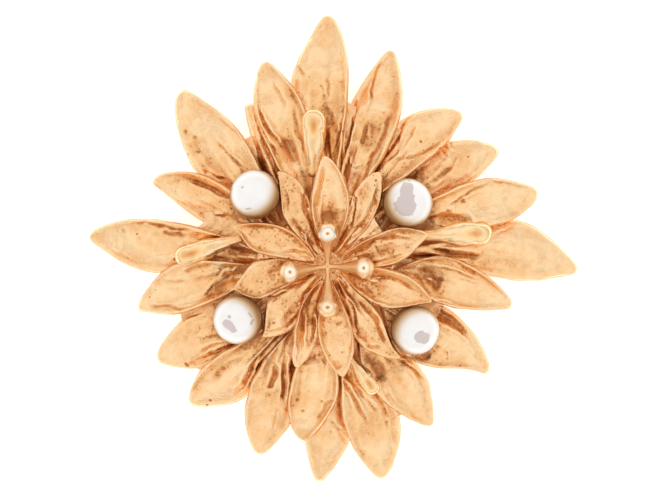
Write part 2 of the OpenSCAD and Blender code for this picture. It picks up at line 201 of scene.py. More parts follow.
def painted_foot_shade(x, y):
    """Painted shade on the gold round the foot of each pearl and stamen."""
    dark = np.zeros(x.shape)
    feet = [(place, PEARL_FOOT_SHADE) for place in PEARLS.values()]
    feet += [(place, STAMEN_FOOT_SHADE) for place, _ in STAMENS.values()]
    for (px, py), (radius, reach, strength) in feet:
        dark += strength * bell(np.hypot(x - px, y - py) - radius, reach)
    return dark


def skin(name, rings, caps, material, shade, cap_shades):
    """A smooth-shaded mesh through closed rings of points, in millimetres from the flower's
    axis, with a point at each end. Its painted shading runs from crevice (0, painted shade)
    to ridge (1, painted highlight)."""
    count, size = rings.shape[:2]
    around = [(j, (j + 1) % size) for j in range(size)]
    faces = [(i * size + j, i * size + k, (i + 1) * size + k, (i + 1) * size + j)
             for i in range(count - 1) for j, k in around]
    first, last, final = count * size, count * size + 1, (count - 1) * size
    for j, k in around:
        faces += [(first, k, j), (last, final + j, final + k)]
    verts = np.concatenate([rings.reshape(-1, 3), caps])
    mesh = bpy.data.meshes.new(name)
    mesh.from_pydata(((verts + AXIS) * MM).tolist(), [], faces)
    mesh.polygons.foreach_set("use_smooth", [True] * len(mesh.polygons))
    painted_shading = mesh.attributes.new("painted_shading", "FLOAT", "POINT")
    painted_shading.data.foreach_set("value", np.concatenate([shade.reshape(-1), cap_shades]))
    mesh.materials.append(material)
    piece = bpy.data.objects.new(name, mesh)
    bpy.context.scene.collection.objects.link(piece)
    return piece


def face_relief(look, style, seed, length, u, v, half, x, y):
    """Height of a petal's face over its plain surface: rims, hollow, noise and strokes."""
    inset = (1 - np.abs(v)) * half
    relief = np.zeros(x.shape)
    # each rim is a roll with a trough beside it
    standing = np.sqrt(np.maximum(0, lift(u, style["rim_ramp"])))
    for (high, broad), side in zip(look["rim"], (v > 0, v <= 0)):
        roll = high * (bell(inset, broad) - 0.45 * bell(inset - 2.2 * broad, broad))
        relief += np.where(side, roll * unit(half / 1.2) * standing, 0)
    relief -= look["hollow"] * (1 - v * v) * np.sin(np.pi * u) ** 0.7 * unit(half / 2)
    rough = look.get("rough", 1.0)
    face = unit(inset / 0.5)
    rays = grain(u * length / RAY_LENGTH + 5, v * half / RAY_WIDTH + 40, seed + 2)
    relief += RAY_HEIGHT * rough * rays * np.clip(1.15 - u * 1.5, 0.12, 1) * face
    swell = grain(u * length / SWELL_LENGTH + 11, v * half / SWELL_WIDTH + 20, seed + 8)
    relief += SWELL_HEIGHT * swell * face
    for height, spacing, step in HAMMERING:
        relief += height * rough * grain(x / spacing + 50, y / spacing + 50, seed + step) * face
    sx, sy = x / SWAY_SPACING, y / SWAY_SPACING
    sway_x = x + SWAY * grain(sx + 30, sy + 30, seed + 6)
    sway_y = y + SWAY * grain(sx + 70, sy + 70, seed + 7)
    for width, height, *places in look["lines"]:
        points = list(zip(places[::2], places[1::2]))
        relief += stroke(sway_x, sway_y, points, STROKE_WIDTH * width, STROKE_HEIGHT * height)
    return relief


def face_shade(look, style, relief, inset, u, x, y):
    """Painted shading of a petal's face: crevices dark, ridges bright, painted shade at the root.
    """
    soft = relief.copy()
    for _ in range(10):
        soft[1:-1] = (soft[:-2] + soft[1:-1] * 2 + soft[2:]) / 4
        soft[:, 1:-1] = (soft[:, :-2] + soft[:, 1:-1] * 2 + soft[:, 2:]) / 4
    # painted shade: creases and broad hollows darker, and ridges lighter as a painted highlight
    shade = style["level"] + (relief - soft) * style["crease"]
    shade += 0.5 * np.clip(soft + look["hollow"], -0.5, 0.3)
    # painted highlights, and with a negative gain painted shade
    for px, py, reach, gain in look.get("painted_light", ()):
        shade += gain * bell(np.hypot(x - px, y - py), reach)
    # a painted highlight along the rim's roll, inside a painted dark line at the edge
    shade += 0.15 * bell(inset - 0.35, 0.18) - style["edge"] * bell(inset, 0.12)
    # painted shade at the root, and round the feet of pearls and stamens
    dark, near, fall = style["root_shade"]
    return np.maximum(shade - dark * unit(near - u * fall) - painted_foot_shade(x, y), 0.1)


def petal(name, row, look, style, material, seed):
    """One cast petal: the CAD petal's curves, a rounded rim, and relief on its face."""
    root, tip, bow, wide, belly, point, sign, (rise, flick) = row
    along, across = style["mesh"]
    root, tip = np.array(root), np.array(tip)
    run = tip - root
    length = np.hypot(*run)
    normal = np.array([-run[1], run[0]]) / length
    u = (1 - (1 - np.linspace(0, 1, along)) ** 1.25)[:, None]
    u[-1] = 1 - 0.02 / length
    t = np.linspace(-1, 1, across + 1)[None, :]
    v = 0.55 * t + 0.45 * np.sin(np.pi / 2 * t)
    left = v > 0
    from_tip = (1 - u) * length
    halves = []
    for k in (0, 1):
        half = np.maximum(THINNEST, half_width(u, wide[k], belly[k], point[k], style["root"]))
        wobble = WOBBLE * grain(u * length / WOBBLE_SPACING, np.full(u.shape, 3.5), seed + k)
        halves.append(half + wobble * np.minimum(1, half / 1.5))
    half = np.where(left, *halves)
    half = np.sqrt(half ** 2 + 2 * style["blunt"] * from_tip * np.exp(-from_tip / 1.1))
    half = half * (1 - np.where(left, *look.get("pinch", (0, 0))) * unit((u - 0.3) / 0.4))
    mid = root + run * u + normal * (bow * 4 * u * (1 - u))
    x = mid[:, :1] + normal[0] * v * half
    y = mid[:, 1:] + normal[1] * v * half
    edge = style["cup"] * np.where(left, *sign) * lift(u, style["ramp"])
    base = style["surface"](np.hypot(x, y)) + edge * arm(v)
    base = base + rise * lift(u, 0.14) + flick * u ** 4
    inset = (1 - np.abs(v)) * half
    relief = face_relief(look, style, seed, length, u, v, half, x, y)
    # rounding of the rim and tip
    rounding = style["thick"] / 2
    reach, to_tip = unit(inset / rounding), unit(from_tip / rounding)
    swell = np.sqrt(1 - (1 - reach) ** 2) * np.sqrt(1 - (1 - to_tip) ** 2)
    middle = base - rounding
    top = middle + (rounding + relief * unit(reach * 1.5)) * swell
    under = middle - (rounding - 0.05 * grain(x / 1.2 + 9, y / 1.2 + 9, seed + 5)) * swell
    upper = np.stack([x, y, top], -1)
    lower = np.stack([x, y, under], -1)[:, -2:0:-1]
    shade = face_shade(look, style, relief, inset, u, x, y)
    shade = unit(np.concatenate([shade, np.full(lower.shape[:2], 0.45)], 1))
    caps = [(*mid[0], middle[0].mean()), (*tip, middle[-1].mean())]
    return skin(name, np.concatenate([upper, lower], 1), caps, material, shade, [0.4, 0.6])


# -------- materials
def plug(tree, socket, value):
    """Link an output to a socket, or set the socket to a constant."""
    if isinstance(value, bpy.types.NodeSocket):
        tree.links.new(value, socket)
    else:
        socket.default_value = value


def texture(tree, kind, place, **settings):
    node = tree.nodes.new(kind)
    tree.links.new(place, node.inputs["Vector"])
    for key, value in settings.items():
        node.inputs[key].default_value = value
    return node.outputs["Distance" if kind == "ShaderNodeTexVoronoi" else "Fac"]


def ramp(tree, source, stops):
    node = tree.nodes.new("ShaderNodeValToRGB")
    elements = node.color_ramp.elements
    while len(elements) < len(stops):
        elements.new(0.5)
    for element, (place, colour) in zip(elements, stops):
        element.position = place
        element.color = (*colour, 1)
    tree.links.new(source, node.inputs["Fac"])
    return node.outputs["Color"]


def maths(tree, operation, a, b=None, clamp=False):
    node = tree.nodes.new("ShaderNodeMath")
    node.operation = operation
    node.use_clamp = clamp
    plug(tree, node.inputs[0], a)
    if b is not None:
        plug(tree, node.inputs[1], b)
    return node.outputs[0]


def plus(tree, a, b, clamp=False):
    return maths(tree, "ADD", a, b, clamp)


def minus(tree, a, b, clamp=False):
    return maths(tree, "SUBTRACT", a, b, clamp)


def times(tree, a, b, clamp=False):
    return maths(tree, "MULTIPLY", a, b, clamp)


def blend(tree, factor, a, b, mode="MIX"):
    node = tree.nodes.new("ShaderNodeMix")
    node.data_type = "RGBA"
    node.blend_type = mode
    plug(tree, node.inputs["Factor"], factor)
    plug(tree, node.inputs[6], a)
    plug(tree, node.inputs[7], b)
    return node.outputs[2]


def new_material(name):
    """A material, its tree, its shader and a point's place on the object."""
    mat = bpy.data.materials.new(name)
    mat.use_nodes = True
    tree = mat.node_tree
    place = tree.nodes.new("ShaderNodeTexCoord").outputs["Object"]
    return mat, tree, tree.nodes["Principled BSDF"], place


def bump(tree, shader, height, strength, distance, invert=False):
    node = tree.nodes.new("ShaderNodeBump")
    node.invert = invert
    node.inputs["Strength"].default_value = strength
    node.inputs["Distance"].default_value = distance
    tree.links.new(height, node.inputs["Height"])
    tree.links.new(node.outputs["Normal"], shader.inputs["Normal"])


def gold(name, deep, tone, pale, rough, pits=0.5, grain_depth=0.7, mottle=0.9, sandy=0.8,
         polish=1.65, worked=True):
    """Cast gold: colour from crevice to ridge by the painted shading, a deep gold as painted
    shade in crevices and a pale gold as painted highlight on ridges; satin grain, pits and
    dark specks. Unworked gold has no painted shading, and takes the middle tone."""
    mat, tree, shader, place = new_material(name)
    shader.inputs["Metallic"].default_value = 1.0
    noise, cells = "ShaderNodeTexNoise", "ShaderNodeTexVoronoi"
    broad = texture(tree, noise, place, Scale=520.0, Detail=5.0, Roughness=0.68)
    fine = texture(tree, noise, place, Scale=3600.0, Detail=3.0, Roughness=0.65)
    gate = texture(tree, noise, place, Scale=300.0, Detail=2.0)
    sand = texture(tree, noise, place, Scale=3600.0, Detail=2.0, Roughness=0.7)
    holes = texture(tree, cells, place, Scale=1050.0, Randomness=1.0)
    dots = texture(tree, cells, place, Scale=2300.0, Randomness=1.0)
    mixed = 0.55
    if worked:
        painted_shading = tree.nodes.new("ShaderNodeAttribute")
        painted_shading.attribute_name = "painted_shading"
        mixed = painted_shading.outputs["Fac"]
    mixed = plus(tree, mixed, times(tree, minus(tree, broad, 0.5), mottle))
    mixed = plus(tree, mixed, times(tree, minus(tree, fine, 0.5), mottle * 0.35), clamp=True)
    darkest = (deep[0] * 0.70, deep[1] * 0.68, deep[2] * 0.78)
    colour = ramp(tree, mixed, [(0.05, darkest), (0.30, deep), (0.55, tone), (0.85, pale)])
    # pits, where the gate lets them be
    open_to = times(tree, minus(tree, gate, 0.62 - 0.12 * pits), 1.3)
    hole = maths(tree, "LESS_THAN", holes, open_to)
    # sandy specks and grit where the casting was never polished
    raw = minus(tree, 1.0, times(tree, mixed, polish), clamp=True)
    speck = times(tree, minus(tree, sand, 0.52), 5.0, clamp=True)
    speck = times(tree, speck, plus(tree, times(tree, raw, 0.55), 0.10), clamp=True)
    hole = maths(tree, "MAXIMUM", hole, times(tree, speck, sandy))
    grit = maths(tree, "LESS_THAN", dots, times(tree, raw, 0.85 * sandy))
    hole = maths(tree, "MAXIMUM", hole, times(tree, grit, 0.75))
    dark = (deep[0] * 0.6, deep[1] * 0.42, deep[2] * 0.3, 1)
    plug(tree, shader.inputs["Base Color"], blend(tree, hole, colour, dark))
    gloss = ramp(tree, mixed, [(0.1, (rough + 0.25,) * 3), (0.5, (rough + 0.05,) * 3),
                               (0.85, (rough - 0.06,) * 3)])
    plug(tree, shader.inputs["Roughness"], gloss)
    height = minus(tree, plus(tree, times(tree, fine, 0.8), broad), times(tree, hole, 0.5))
    bump(tree, shader, height, grain_depth, 0.00016)
    return mat


# colours of the painted shading: DEEP is painted shade in crevices, TONE the open face, PALE
# painted highlight on ridges
DEEP, TONE, PALE = (0.86, 0.45, 0.18), (0.96, 0.58, 0.28), (1.0, 0.70, 0.40)
PETAL_GOLD = gold("cast_gold", DEEP, TONE, PALE, 0.21)
ROSETTE_GOLD = gold("rosette_gold", DEEP, TONE, PALE, 0.25, sandy=1.0, polish=1.38)
BUD_GOLD = gold("bud_gold", (0.84, 0.42, 0.15), (0.98, 0.63, 0.31), (1.0, 0.76, 0.46), 0.26,
                pits=0.1, grain_depth=0.3, mottle=0.25, sandy=0.25)
STAMEN_GOLD = gold("stamen_gold", (0.80, 0.42, 0.18), (1.0, 0.68, 0.36), (1.0, 0.89, 0.74),
                   0.35, pits=0.0, grain_depth=0.12, mottle=0.15, sandy=0.2)
BACK_GOLD = gold("back_gold", (0.84, 0.43, 0.17), (0.95, 0.56, 0.27), (0.98, 0.66, 0.36),
                 0.36, grain_depth=0.8)
POST_GOLD = gold("post_gold", (0.50, 0.20, 0.06), (0.86, 0.50, 0.21), (0.96, 0.66, 0.34),
                 0.3, grain_depth=0.3, worked=False)
FINDING_GOLD = gold("finding_gold", (0.62, 0.30, 0.10), (0.93, 0.62, 0.28),
                    (1.0, 0.76, 0.44), 0.2, pits=0.0, grain_depth=0.12, worked=False)

# -------- relief of each petal
# rim: (height, width) of the left and right rims; hollow: depth; rough: strength of the noise;
# pinch: share taken off the left and right halves; then (x, y, reach, gain) of each place of
# painted highlight or, with a negative gain, painted shade; lines: (width, height, x, y, x, y,
# ...) of a ridge or, with a negative height, a crease
OUTER_LOOKS = {
    1: dict(rim=((0.15, 0.3), (0.32, 0.55)), hollow=0.25,
        painted_light=[(-0.8, 25.6, 1.6, 0.3), (2.0, 27.0, 1.2, 0.2), (0.2, 17.0, 1.9, -0.3),
        (0, 19.6, 0.9, -0.3), (2.4, 19.5, 1.2, -0.2), (-2.6, 22.5, 1.2, -0.15)],
        lines=[(0.16, -0.15, -0.7, 30.1, -1.5, 28.9, -2.3, 27.6),
        (0.15, -0.12, -2.3, 27.6, -2.6, 26.3, -2.6, 25.0),
        (0.18, -0.36, -3.7, 25.0, -3.3, 24.2, -2.8, 23.3),
        (0.2, -0.28, -0.2, 23.6, 0.1, 22.0, 0, 20.4),
        (0.2, -0.18, -0.9, 22.9, -0.5, 21.5, -0.6, 20.2),
        (0.25, -0.12, 1.3, 28.0, 1.8, 25.5, 1.9, 23.0, 1.6, 20.5),
        (0.16, -0.32, 2.2, 20.5, 1.9, 18.5, 1.3, 16.3, 0.8, 14.4),
        (0.35, -0.25, -0.6, 20.0, 0.2, 18.6, 0.3, 16.5), (0.9, 0.12, -1.6, 27.5, -1.2, 25.5)]),
    2: dict(rim=((0.2, 0.3), (0.38, 0.7)), hollow=0.2,
        painted_light=[(7.2, 23.5, 1.2, 0.25), (5.3, 17.6, 1.1, -0.2), (4.7, 15.6, 1.1, -0.25),
        (7.3, 19.6, 0.8, 0.25)],
        lines=[(0.14, -0.32, 6.8, 25.6, 6.1, 24.3, 5.6, 23.0, 5.4, 21.5, 5.2, 19.9),
        (0.2, 0.18, 5.3, 23.2, 5.05, 21.5, 4.9, 19.6),
        (0.15, -0.25, 3.5, 21.0, 3.4, 19.8, 3.2, 18.3),
        (0.22, -0.3, 7.7, 19.0, 7.2, 17.2, 6.6, 15.6, 5.6, 13.9, 4.8, 12.7),
        (0.12, -0.12, 5.2, 19.15, 6.3, 19.1, 7.4, 18.7),
        (0.85, -0.28, 5.6, 18.3, 4.9, 16.2, 4.2, 14.4),
        (0.28, -0.35, 4.9, 17.7, 4.5, 16.0, 4.1, 14.7),
        (0.28, 0.25, 3.5, 18.3, 3.1, 16.2, 2.8, 14.2),
        (0.2, -0.28, 2.9, 19.2, 2.5, 16.5, 2.1, 13.8),
        (0.16, 0.22, 2.6, 13.8, 2.8, 12.7, 3.5, 12.2, 4.3, 12.7)]),
    3: dict(rim=((0.15, 0.3), (0.36, 0.55)), hollow=0.15,
        painted_light=[(13.8, 17.6, 1.6, 0.25), (10.6, 15.8, 1.5, 0.12)],
        lines=[(0.17, -0.3, 10.9, 18.8, 9.8, 18.0, 9.0, 16.8, 8.3, 15.2, 7.3, 13.8),
        (0.14, -0.2, 10.9, 17.5, 9.9, 15.8, 9.2, 14.2),
        (0.1, -0.1, 12.9, 16.2, 11.9, 15.3, 11.2, 14.8),
        (0.2, -0.26, 14.6, 16.1, 13.2, 14.9, 11.5, 13.8, 9.6, 13.3, 8.0, 13.0),
        (0.14, -0.18, 9.9, 14.3, 9.2, 13.4, 8.5, 12.8),
        (0.16, -0.2, 8.9, 14.7, 8.3, 13.7, 7.2, 12.9),
        (0.22, 0.15, 10.3, 18.0, 9.4, 16.6, 8.8, 15.2)]),
    4: dict(rim=((0.1, 0.3), (0.2, 0.4)), hollow=0.12,
        painted_light=[(19.0, 13.4, 1.6, 0.2), (13.6, 11.0, 1.8, -0.2), (10.8, 11.2, 1.3, -0.3)],
        lines=[(0.13, -0.16, 14.8, 15.8, 15.2, 14.9, 16.1, 14.4),
        (0.12, -0.14, 14.2, 15.0, 15.0, 14.3, 15.9, 13.9), (0.12, -0.14, 13.9, 14.3, 14.9, 13.4),
        (0.12, -0.14, 13.5, 13.7, 14.6, 12.9), (0.16, -0.2, 16.1, 13.9, 15.3, 12.4, 14.3, 11.2),
        (0.28, -0.28, 15.5, 12.3, 13.8, 11.0, 12.4, 10.2), (0.3, 0.15, 14.5, 12.3, 13.0, 11.4),
        (0.25, -0.35, 17.4, 10.2, 15.6, 9.2, 14.0, 7.9, 12.8, 6.8),
        (0.15, -0.12, 18.8, 12.4, 18.2, 11.4)]),
    5: dict(rim=((0.28, 0.4), (0.15, 0.4)), hollow=0.18,
        painted_light=[(16.6, 8.0, 0.32, -0.5), (17.3, 8.9, 0.2, -0.3), (21.5, 8.0, 2.0, 0.2),
        (18.0, 7.2, 1.4, 0.15), (24.0, 9.3, 1.0, 0.2)],
        lines=[(0.15, -0.28, 14.4, 7.1, 16.0, 8.2, 17.2, 8.9, 18.6, 9.7, 20.2, 10.3),
        (0.13, -0.22, 18.2, 10.3, 19.6, 10.8, 20.3, 10.5, 21.2, 10.3, 22.6, 10.0),
        (0.12, -0.1, 17.0, 8.0, 18.5, 8.8, 20.0, 9.2), (0.12, -0.08, 21.5, 8.3, 22.4, 8.4),
        (0.2, -0.3, 16.4, 8.1, 16.9, 7.9), (0.12, -0.25, 14.6, 7.0, 14.8, 6.6),
        (0.45, -0.4, 12.8, 5.7, 15.0, 6.0, 17.0, 5.8, 18.2, 5.4),
        (0.16, 0.2, 13.2, 5.1, 15.5, 5.0, 17.4, 5.3), (0.35, -0.1, 24.7, 8.9, 24.2, 7.9)]),
    6: dict(rim=((0.12, 0.35), (0.16, 0.4)), hollow=0.1, rough=0.8,
        painted_light=[(28.2, 1.3, 1.9, 0.42), (24.8, -1.0, 1.4, 0.2), (23.0, 3.4, 1.6, 0.12),
        (18.5, 0.8, 1.5, -0.25)],
        lines=[(0.15, -0.14, 20.2, 3.9, 21.5, 4.3, 23.0, 4.9), (0.12, -0.1, 20.2, 2.9, 21.4, 3.2),
        (0.15, -0.2, 20.2, 4.8, 21.6, 5.2, 22.9, 5.8),
        (0.12, -0.08, 20.2, 2.0, 21.0, 1.7, 21.2, 1.0),
        (0.5, -0.6, 12.3, 2.3, 14.0, 1.7, 16.0, 1.3, 18.0, 1.1, 19.3, 1.5),
        (0.6, 0.1, 27.0, 1.2, 29.2, 1.2), (0.35, -0.1, 25.0, -0.9, 27.5, -1.0)]),
    7: dict(rim=((0.32, 0.35), (0.1, 0.35)), hollow=0.2,
        painted_light=[(20.5, -4.0, 1.8, 0.3), (16.5, -3.4, 1.5, 0.1), (13.2, -2.0, 1.6, -0.25)],
        lines=[(0.17, -0.32, 11.6, 1.2, 14.5, 1.0, 16.5, 0.2, 18.2, -0.8, 19.4, -1.6),
        (0.2, 0.18, 13.0, 0.4, 15.3, -0.1, 17.3, -0.9, 19.0, -1.8),
        (0.14, -0.2, 13.2, -0.1, 15.5, -0.6, 17.3, -1.3, 18.8, -2.0),
        (0.11, -0.18, 15.8, -1.6, 17.5, -1.9, 18.9, -2.3),
        (0.8, -0.5, 11.0, 0, 12.4, -1.6, 14.0, -2.8),
        (0.25, -0.25, 10.6, -0.7, 11.7, -2.2, 12.8, -3.5),
        (0.13, -0.28, 13.3, -4.1, 14.4, -4.4, 15.4, -4.6)]),
    8: dict(rim=((0.34, 0.42), (0.15, 0.4)), hollow=0.2,
        painted_light=[(17.6, -11.0, 1.5, 0.2), (14.6, -8.8, 1.2, 0.15), (15.0, -6.8, 1.4, -0.25)],
        lines=[(0.65, -0.62, 12.3, -5.0, 14.0, -6.1, 15.8, -7.3, 17.4, -8.8),
        (0.12, -0.22, 13.9, -7.4, 15.2, -7.9, 16.5, -8.8, 17.6, -9.7),
        (0.15, 0.18, 14.0, -7.0, 15.8, -8.0, 17.4, -9.2), (0.12, -0.14, 14.5, -10.2, 14.8, -11.6),
        (0.5, -0.5, 9.6, -11.2, 11.4, -11.3, 12.9, -10.6), (0.4, -0.1, 18.2, -11.6, 19.0, -10.0)]),
    9: dict(rim=((0.26, 0.35), (0.14, 0.35)), hollow=0.12,
        painted_light=[(10.6, -15.6, 1.6, 0.25), (12.2, -18.0, 1.2, 0.2), (6.2, -12.6, 1.5, -0.25)],
        lines=[(0.16, -0.35, 8.6, -11.1, 10.0, -12.4, 11.3, -13.4, 11.9, -14.1),
        (0.12, -0.18, 9.4, -12.6, 10.2, -13.4, 10.9, -14.1),
        (0.75, -0.6, 4.4, -10.2, 5.5, -11.5, 6.5, -13.0, 6.9, -14.4),
        (0.3, 0.25, 5.0, -10.2, 6.3, -10.6, 7.6, -11.0),
        (0.12, -0.14, 7.2, -13.9, 7.5, -15.5, 8.4, -17.0),
        (0.18, 0.2, 6.0, -13.4, 6.5, -15.2, 7.6, -16.8), (0.3, -0.1, 11.9, -17.8, 12.2, -15.6)]),
    10: dict(rim=((0.2, 0.4), (0.18, 0.35)), hollow=0.12,
        painted_light=[(6.6, -22.6, 1.6, 0.3), (4.0, -17.2, 1.2, 0.15)],
        lines=[(0.2, -0.38, 1.6, -13.6, 2.6, -15.0, 3.4, -16.5, 4.2, -18.2, 5.1, -19.7),
        (0.14, -0.18, 2.0, -15.2, 2.7, -16.4, 3.2, -18.0),
        (0.16, -0.26, 3.4, -14.4, 4.5, -16.0, 5.5, -17.5, 6.5, -18.2),
        (0.22, 0.18, 2.9, -14.9, 3.9, -16.5, 5.0, -18.4),
        (0.17, -0.32, 6.1, -16.0, 6.9, -17.2, 7.3, -18.4, 7.3, -20.2),
        (0.14, 0.15, 5.2, -16.0, 6.0, -17.0, 6.9, -18.8),
        (0.13, -0.16, 1.3, -16.0, 1.6, -18.0, 2.1, -20.0, 2.7, -21.3),
        (0.4, -0.12, 8.2, -22.4, 7.7, -24.4), (0.15, -0.12, 5.7, -22.8, 5.8, -22.6)]),
    11: dict(rim=((0.1, 0.35), (0.16, 0.35)), hollow=0.1, rough=0.9,
        painted_light=[(0.6, -22.0, 1.2, 0.25), (-0.8, -24.0, 1.2, 0.12)],
        lines=[(0.22, -0.18, 0.2, -18.8, 1.0, -19.8, 2.0, -20.3),
        (0.16, -0.14, 1.3, -20.2, 2.0, -21.2, 2.5, -22.0),
        (0.25, -0.22, -2.3, -20.6, -1.2, -19.8, 0, -18.3), (0.6, -0.06, -1.1, -22.0, -1.0, -25.4)]),
    12: dict(rim=((0.3, 0.35), (0.12, 0.3)), hollow=0.08,
        painted_light=[(-3.7, -16.4, 0.2, -0.4), (-3.0, -17.8, 0.2, -0.4), (-0.7, -16.6, 0.22, -0.4),
        (-2.8, -19.2, 1.3, 0.25), (-1.6, -14.2, 1.6, 0.2)],
        lines=[(0.14, -0.22, -3.8, -16.6, -3.6, -16.2), (0.14, -0.2, -3.2, -17.9, -2.9, -17.8),
        (0.14, -0.22, -0.9, -16.7, -0.5, -16.5), (0.14, -0.18, -2.3, -15.5, -2.1, -15.2),
        (0.15, -0.22, 0.9, -15.8, 0.6, -16.4, -0.1, -16.8, -0.7, -17.9, -1.6, -19.2),
        (0.28, 0.22, 0.9, -17.0, -0.1, -18.3, -1.2, -19.7),
        (0.5, -0.4, -3.4, -12.2, -2.4, -11.2, -1.0, -10.6),
        (0.2, -0.22, -0.6, -11.2, -0.1, -12.2)]),
    13: dict(rim=((0.14, 0.35), (0.12, 0.35)), hollow=0.05, rough=0.8,
        painted_light=[(-7.4, -19.0, 1.6, 0.15), (-8.2, -12.2, 1.2, 0.2)],
        lines=[(0.14, -0.16, -6.3, -17.2, -6.4, -19.0, -6.7, -20.5),
        (0.75, 0.35, -7.8, -10.8, -8.2, -12.4, -8.1, -13.6),
        (0.32, -0.42, -6.5, -11.4, -6.4, -13.3, -6.9, -14.7, -7.8, -15.1),
        (0.24, -0.3, -5.2, -10.0, -5.3, -12.5, -5.2, -15.0, -5.3, -16.8),
        (0.25, 0.18, -5.8, -12.3, -5.8, -15.0, -5.9, -17.0),
        (0.15, -0.28, -9.6, -13.8, -9.0, -12.2, -8.0, -10.2)]),
    14: dict(rim=((0.2, 0.35), (0.32, 0.4)), hollow=0.12,
        painted_light=[(-14.6, -15.6, 1.6, 0.2), (-10.8, -13.0, 1.2, 0.2)],
        lines=[(0.42, 0.32, -8.7, -10.5, -9.8, -12.5, -10.9, -14.4, -12.0, -15.6),
        (0.13, -0.3, -8.6, -11.0, -9.2, -13.0, -10.3, -14.9, -11.4, -16.0),
        (0.45, -0.3, -10.0, -11.0, -12.6, -12.5, -14.6, -14.3),
        (0.2, -0.12, -11.0, -13.6, -11.6, -14.8)]),
    15: dict(rim=((0.14, 0.35), (0.12, 0.35)), hollow=0.12, pinch=(0, -0.2),
        painted_light=[(-18.6, -10.4, 1.5, 0.25), (-15.0, -8.4, 1.2, 0.15)],
        lines=[(0.2, -0.24, -13.0, -9.5, -14.6, -9.9, -16.0, -10.9),
        (0.16, -0.2, -13.2, -8.4, -15.0, -8.7, -16.6, -9.0),
        (0.36, -0.48, -11.8, -9.9, -13.6, -10.8, -15.4, -11.5, -16.6, -12.1),
        (0.16, -0.32, -17.7, -11.9, -17.0, -12.4),
        (0.28, 0.18, -12.4, -9.2, -14.5, -9.3, -16.5, -10.2),
        (0.5, -0.18, -14.5, -7.4, -16.4, -7.8, -17.6, -8.6)]),
    16: dict(rim=((0.22, 0.4), (0.16, 0.35)), hollow=0.12,
        painted_light=[(-21.0, -3.4, 1.6, 0.2), (-17.2, -3.6, 1.3, 0.15), (-13.6, -2.2, 1.5, -0.2)],
        lines=[
        (0.14, -0.28, -22.6, -4.7, -21.0, -4.9, -19.5, -4.9, -18.2, -5.2, -17.0, -5.0, -16.0, -4.4),
        (0.5, -0.42, -10.5, -0.8, -12.2, -1.6, -13.8, -2.6, -15.6, -4.2),
        (0.16, -0.22, -11.4, 0.2, -11.9, -0.6), (0.16, -0.22, -11.8, -1.0, -12.5, -1.6),
        (0.16, -0.2, -12.8, -0.4, -13.6, -1.2), (0.16, -0.2, -14.0, -2.2, -14.7, -3.2),
        (0.28, -0.18, -20.2, -1.8, -18.8, -2.2, -17.5, -1.6), (0.2, -0.1, -20.0, -2.4, -18.0, -2.9),
        (0.3, -0.35, -18.0, -1.0, -16.0, -0.2, -14.0, 0.3)]),
    17: dict(rim=((0.12, 0.35), (0.34, 0.5)), hollow=0.12,
        painted_light=[(-26.0, 3.3, 1.8, 0.3), (-21.5, 2.6, 1.6, 0.15), (-18.5, 4.2, 1.3, -0.2)],
        lines=[(0.18, -0.4, -24.6, 5.2, -22.5, 5.35, -20.5, 5.0, -18.5, 4.6, -16.2, 4.2),
        (0.28, -0.34, -20.6, 4.2, -19.0, 4.0, -17.2, 3.8), (0.17, -0.24, -25.5, 4.6, -25.0, 4.4),
        (0.12, -0.16, -26.1, 4.5, -26.0, 4.1), (0.14, -0.14, -23.4, 3.7, -23.0, 3.4),
        (0.12, -0.16, -21.5, 1.3, -20.3, 1.45, -19.2, 1.55), (0.7, 0.14, -26.6, 2.6, -25.2, 2.2),
        (0.4, -0.1, -27.0, 1.9, -25.0, 0.9, -23.0, 0.3),
        (0.2, -0.32, -16.2, 3.0, -14.0, 3.5, -12.0, 3.8)]),
    18: dict(rim=((0.16, 0.3), (0.3, 0.45)), hollow=0.14,
        painted_light=[(-19.0, 9.2, 1.3, 0.25), (-15.4, 8.0, 1.5, 0.1), (-14.6, 9.8, 1.3, -0.15)],
        lines=[(0.45, 0.32, -17.2, 11.6, -15.0, 11.0, -13.0, 10.4, -11.8, 10.0),
        (0.34, -0.55, -17.4, 10.7, -15.4, 10.1, -13.6, 9.2, -11.9, 8.2),
        (0.15, -0.16, -18.4, 8.2, -17.2, 7.1), (0.25, -0.18, -15.6, 6.4, -13.8, 6.1, -12.2, 6.2),
        (0.2, -0.1, -19.8, 10.2, -18.2, 10.6)]),
    19: dict(rim=((0.1, 0.4), (0.2, 0.45)), hollow=0.12, rough=0.9,
        painted_light=[(-17.5, 16.6, 0.3, -0.6), (-16.3, 15.9, 0.32, -0.6), (-15.9, 14.1, 0.2, -0.4),
        (-14.35, 13.3, 0.2, -0.4), (-15.4, 17.4, 1.3, 0.4), (-17.4, 19.6, 1.0, 0.25),
        (-12.5, 12.6, 1.2, -0.2)],
        lines=[(0.17, -0.26, -17.7, 16.7, -17.3, 16.5), (0.2, -0.3, -16.5, 16.0, -16.2, 15.7),
        (0.12, -0.16, -16.3, 14.15, -15.7, 14.1), (0.13, -0.16, -14.5, 13.4, -14.2, 13.3),
        (0.2, -0.34, -14.0, 15.6, -12.8, 14.4, -11.9, 13.5, -11.0, 12.6, -10.2, 12.1),
        (0.13, -0.2, -12.9, 15.2, -11.6, 13.9, -10.2, 12.9), (0.5, 0.18, -15.9, 17.5, -14.6, 16.9),
        (0.14, -0.2, -14.4, 18.6, -12.9, 17.9, -11.5, 16.5, -10.3, 15.1, -9.4, 13.2),
        (0.3, 0.14, -15.2, 18.6, -13.4, 17.2, -11.8, 15.6),
        (0.5, -0.1, -17.0, 20.2, -15.9, 17.8, -15.4, 15.6),
        (0.16, -0.25, -15.6, 11.8, -13.6, 10.9, -12.2, 10.6)]),
    20: dict(rim=((0.06, 0.25), (0.06, 0.25)), hollow=0.05, pinch=(0.45, -0.9),
